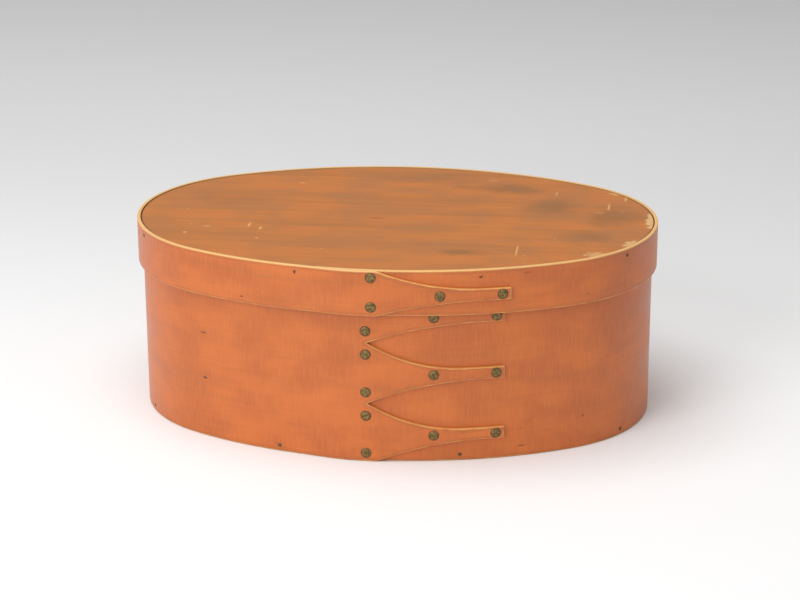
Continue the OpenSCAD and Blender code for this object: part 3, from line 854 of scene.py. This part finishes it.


# The lid rim.
# A second, lower strip bent round the finished box. Its single finger is cut and tacked like
# the others, and its upper edge is painted paler all along: a painted highlight for the light
# caught on its rounded edge.
LID_BAND_T = 1.6
rim_low, rim_high = (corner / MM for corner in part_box("lid_band"))
LID_GAP = 0.6
box_side_y = oval_arcs(BOX_FORM)[1]
LID_BACK = tuple(value + BAND_T + LID_GAP for value in BOX_FORM)
front_l = LID_BACK[0] - 0.005
front_w = LID_BACK[1] + BAND_T + LAP_GAP + HEAD_H
LID_FRONT = (front_l, front_w, ((front_w + box_side_y) ** 2 - front_l**2 - box_side_y**2)
             / (2 * (front_w + box_side_y - front_l)))
RIM_H = rim_high.z - rim_low.z
LID_TIP_X = 59.6
rim_tip_z = rim_low.z + 0.46 * RIM_H
rim_root_z = rim_low.z + 0.53 * RIM_H
lid_path = strip_path(LID_FRONT, LID_BACK, LID_BAND_T, -36.0, LID_TIP_X)
rim_fingers = [(((EDGE_X, rim_low.z), (LOWER_LEVEL_X, rim_tip_z - half_tip)),
                ((EDGE_X, rim_high.z), (LOWER_LEVEL_X, rim_tip_z + half_tip)))]
lid_band = strip_object("lid_band_bent", lid_path, rim_low.z, rim_high.z, rim_fingers, worn=0.45)
rim_flecks = [
    ((wall_s(lid_path, -59.5), 72.5, 1.6), (1.0, 0.45, 3), 0.8),
    ((wall_s(lid_path, 91.8), 74.1, 1.6), (0.9, 0.5, 3), 0.5),
    ((wall_s(lid_path, 66), 87.4, 1.6), (2.6, 0.5, 3), 0.35),
]
lid_band.data.materials.append(
    washed_maple("washed maple, rim", rim_flecks, rim_high.z, 7.0, rim_highlight=0.6))
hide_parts("lid_band")
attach(lid_band, "lid")


# The lid board.
# A flat pine board set in the rim, washed an ochre orange outside and bare below. Its right
# half is smudged dark by hands, with a few pale scratches, and its right end is chipped.
top_low, top_high = (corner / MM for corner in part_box("lid_top"))
lid_top = board_object("lid_top_board", shrunk(LID_FRONT, 0.22), shrunk(LID_BACK, 0.22),
                       top_low.z, top_high.z, 0.3)
ochre_pine = bpy.data.materials.new("ochre washed pine")
ochre_pine.use_nodes = True
tree = ochre_pine.node_tree
shader = tree.nodes["Principled BSDF"]
place = in_mm(tree)
wood = put(tree, "ShaderNodeGroup", node_tree=grain)
tree.links.new(place, wood.inputs["Place"])
for key, value in (("Streak Length", 70), ("Streak Width", 1.3), ("Patch Size", 30),
                   ("Scrape Width", 1.4), ("Seed", 21.0)):
    wood.inputs[key].default_value = value
lines, patch, scrape, figure = wood.outputs
colour = blend_colours(tree, span(tree, patch, 0.36, 0.66), (0.44, 0.150, 0.029, 1), (0.53, 0.168, 0.031, 1))
colour = blend_colours(tree, span(tree, figure, 0.48, 0.72, 0, 0.42), colour, (0.33, 0.125, 0.025, 1))
colour = blend_colours(tree, span(tree, lines, 0.5, 0.75, 0, 0.34), colour, (0.28, 0.10, 0.02, 1))
colour = blend_colours(tree, span(tree, lines, 0.2, 0.42, 0.3, 0.0), colour, (0.62, 0.21, 0.045, 1))
board_z = top_high.z
smudges = [
    ((48, 47, board_z), (26, 9, 40), 0.75), ((72, 20, board_z), (16, 16, 40), 0.75),
    ((37, -53, board_z), (13, 6, 40), 0.85), ((100, 8, board_z), (14, 24, 40), 0.7),
    ((90, -25, board_z), (17, 11, 40), 0.7), ((-82, 22, board_z), (22, 18, 40), 0.35),
    ((10, 62, board_z), (34, 9, 40), 0.4), ((-30, -20, board_z), (60, 3, 40), 0.2),
]
smudge = marks(tree, place, smudges, softness=0.75, ragged=0.75, size=14.0)
colour = blend_colours(tree, sums(tree, "MULTIPLY", smudge, 0.75), colour, (0.225, 0.098, 0.024, 1))
scratches = [
    ((59.6, -48, board_z), (0.55, 8.5, 9), 0.75), ((97.5, 23, board_z), (0.7, 7.0, 9), 0.7),
    ((94, 13, board_z), (3.0, 0.7, 9), 0.6), ((-92, -37, board_z), (1.1, 1.3, 9), 0.8),
    ((-84, -27, board_z), (3.2, 0.8, 9), 0.6), ((-65, -22, board_z), (0.8, 4.0, 9), 0.75),
    ((-59, -27, board_z), (0.9, 3.0, 9), 0.7), ((-58, -42, board_z), (1.2, 0.9, 9), 0.7),
    ((40, 61, board_z), (2.5, 0.8, 9), 0.5), ((-52, 48, board_z), (2.0, 0.9, 9), 0.5),
    ((72, 42, board_z), (0.6, 5.0, 9), 0.5), ((105, 37, board_z), (0.8, 5.0, 9), 0.65),
]
pale = marks(tree, place, scratches, softness=0.5, ragged=0.8, size=1.1)
speck = put(tree, "ShaderNodeTexVoronoi", {"Vector": place, "Scale": 0.085, "Randomness": 1.0})
dots = span(tree, speck.outputs["Distance"], 0.018, 0.06, 0.6, 0.0)
pale = sums(tree, "MAXIMUM", pale, dots)
colour = blend_colours(tree, pale, colour, (0.74, 0.40, 0.13, 1))
gash = marks(tree, place, [((-8.3, -6.1, board_z), (4.6, 0.55, 9), 0.8)], size=1.0)
colour = blend_colours(tree, gash, colour, (0.10, 0.045, 0.016, 1))
edge = put(tree, "ShaderNodeAttribute", attribute_name="edge").outputs["Fac"]
chips = [((118, 4, board_z), (3.2, 15, 9), 0.95), ((112, -34, board_z), (7, 7, 9), 0.8),
         ((104, 47, board_z), (8, 5, 9), 0.6), ((96, -50, board_z), (9, 3.5, 9), 0.55)]
chipped = marks(tree, place, chips, softness=0.3, ragged=1.1, size=3.0)
colour = blend_colours(tree, chipped, colour, (0.70, 0.42, 0.17, 1))
# Painted shade: the board's outer edge is painted almost black, for the shade in the gap against the rim.
seam_shade = span(tree, edge, 0.12, 0.8, 0.9, 0.0)
colour = blend_colours(tree, seam_shade, colour, (0.085, 0.032, 0.011, 1))
below = put(tree, "ShaderNodeSeparateXYZ", {0: place}).outputs[2]
colour = blend_colours(tree, span(tree, below, top_low.z + 0.5, top_low.z + 0.1), colour,
                       blend_colours(tree, span(tree, figure, 0.4, 0.7), (0.58, 0.37, 0.17, 1),
                                     (0.42, 0.24, 0.095, 1)))
tree.links.new(colour, shader.inputs["Base Color"])
tree.links.new(span(tree, patch, 0.3, 0.7, 0.42, 0.56), shader.inputs["Roughness"])
shader.inputs["Specular IOR Level"].default_value = 0.4
relief = sums(tree, "ADD", sums(tree, "ADD", lines, sums(tree, "MULTIPLY", figure, 1.5)),
              sums(tree, "MULTIPLY", sums(tree, "ADD", gash, chipped), -1.2))
bump = put(tree, "ShaderNodeBump", {"Height": relief, "Strength": 0.4, "Distance": 0.1 * MM})
tree.links.new(bump.outputs[0], shader.inputs["Normal"])
lid_top.data.materials.append(ochre_pine)
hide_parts("lid_top")
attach(lid_top, "lid")


# The tacks and pegs of the lid.
# The same copper tacks hold the rim's finger, the topmost driven into the board's edge, and
# the same pegs hold the board in the rim.
rim_tack_rows = finger_tacks(lid_path, -0.6, LID_TIP_X, rim_root_z, rim_tip_z, 13.4,
                             lambda z: z > top_low.z)
lid_tacks = grown_from_points("lid_tacks", rim_tack_rows, tack_tree, {
    "Lap Thickness": (2 * LID_BAND_T + LAP_GAP) * MM, "Seed": 9.0, "Metal": dull_copper,
    "Dark Ring": dark_ring}, "lid")
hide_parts("lid_finger_tacks")
lid_peg_rows = peg_row(lid_path, (-34.2, 46.2), PEG_TURNS, LID_FRONT, LID_BACK,
                       (top_low.z + top_high.z) / 2)
lid_pegs = grown_from_points("lid_pegs_whittled", lid_peg_rows, peg_tree,
                             {"Wood": end_grain, "Seed": 6.0}, "lid")
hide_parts("lid_pegs")


# The floor, the light and the camera.
# A pale paper floor, painted greyer towards the back as painted shade for the light falling off,
# a large soft light above and a fill from the front left.
floor_mesh = bpy.data.meshes.new("floor")
FLOOR = 6.0
floor_mesh.from_pydata([(-FLOOR, -FLOOR, 0), (FLOOR, -FLOOR, 0), (FLOOR, FLOOR, 0), (-FLOOR, FLOOR, 0)],
                       [], [(0, 1, 2, 3)])
floor = bpy.data.objects.new("floor", floor_mesh)
floor.location.z = -0.0002
bpy.context.scene.collection.objects.link(floor)
paper = bpy.data.materials.new("paper")
paper.use_nodes = True
tree = paper.node_tree
shader = tree.nodes["Principled BSDF"]
place = put(tree, "ShaderNodeTexCoord").outputs["Object"]
xyz = put(tree, "ShaderNodeSeparateXYZ", {0: place}).outputs
# Painted shade: the paper is painted greyer towards the back, for the light falling off behind.
falloff_shade = span(tree, xyz[1], -0.1, 0.45, 0.0, 0.75)
falloff_shade = sums(tree, "ADD", falloff_shade, span(tree, xyz[1], 0.4, 1.1, 0.0, 0.25))
colour = blend_colours(tree, falloff_shade, (0.88, 0.88, 0.88, 1), (0.66, 0.66, 0.66, 1))
tree.links.new(colour, shader.inputs["Base Color"])
shader.inputs["Roughness"].default_value = 0.9
shader.inputs["Specular IOR Level"].default_value = 0.1
floor_mesh.materials.append(paper)

world = bpy.data.worlds.new("studio")
bpy.context.scene.world = world
world.use_nodes = True
world.node_tree.nodes["Background"].inputs["Color"].default_value = (1, 1, 1, 1)
world.node_tree.nodes["Background"].inputs["Strength"].default_value = 0.42


def soft_light(name, at, look_at, size, energy):
    data = bpy.data.lights.new(name, "AREA")
    data.shape = "RECTANGLE"
    data.size, data.size_y = size
    data.energy = energy
    lamp = bpy.data.objects.new(name, data)
    lamp.location = at
    lamp.rotation_euler = (Vector(look_at) - Vector(at)).to_track_quat("-Z", "Y").to_euler()
    bpy.context.scene.collection.objects.link(lamp)
    return lamp


soft_light("overhead", (-0.25, -0.25, 1.5), (0, 0, 0), (1.6, 1.2), 17)
soft_light("front left", (-0.85, -1.35, 0.75), (0, 0, 0.04), (0.9, 0.9), 13)

DISTANCE, AZIMUTH, ELEVATION, ROLL = 1.07479, 7.127, 19.135, -0.247
LOOK_AT = Vector((0.0015983, 0.0, 0.0478966))
SENSOR, FOCAL = 36.0, 2287.326 / 800 * 36.0
a, e, roll = (math.radians(v) for v in (AZIMUTH, ELEVATION, ROLL))
backward = Vector((math.sin(a) * math.cos(e), -math.cos(a) * math.cos(e), math.sin(e)))
level = (-backward).cross(Vector((0, 0, 1))).normalized()
upright = level.cross(-backward)
right = math.cos(roll) * level + math.sin(roll) * upright
up = -math.sin(roll) * level + math.cos(roll) * upright
camera_data = bpy.data.cameras.new("camera")
camera_data.sensor_width = SENSOR
camera_data.lens = FOCAL
camera = bpy.data.objects.new("camera", camera_data)
camera.matrix_world = Matrix.Translation(LOOK_AT + DISTANCE * backward) @ Matrix(
    (right, up, backward)).transposed().to_4x4()
bpy.context.scene.collection.objects.link(camera)
bpy.context.scene.camera = camera
bpy.context.scene.view_settings.view_transform = "Standard"
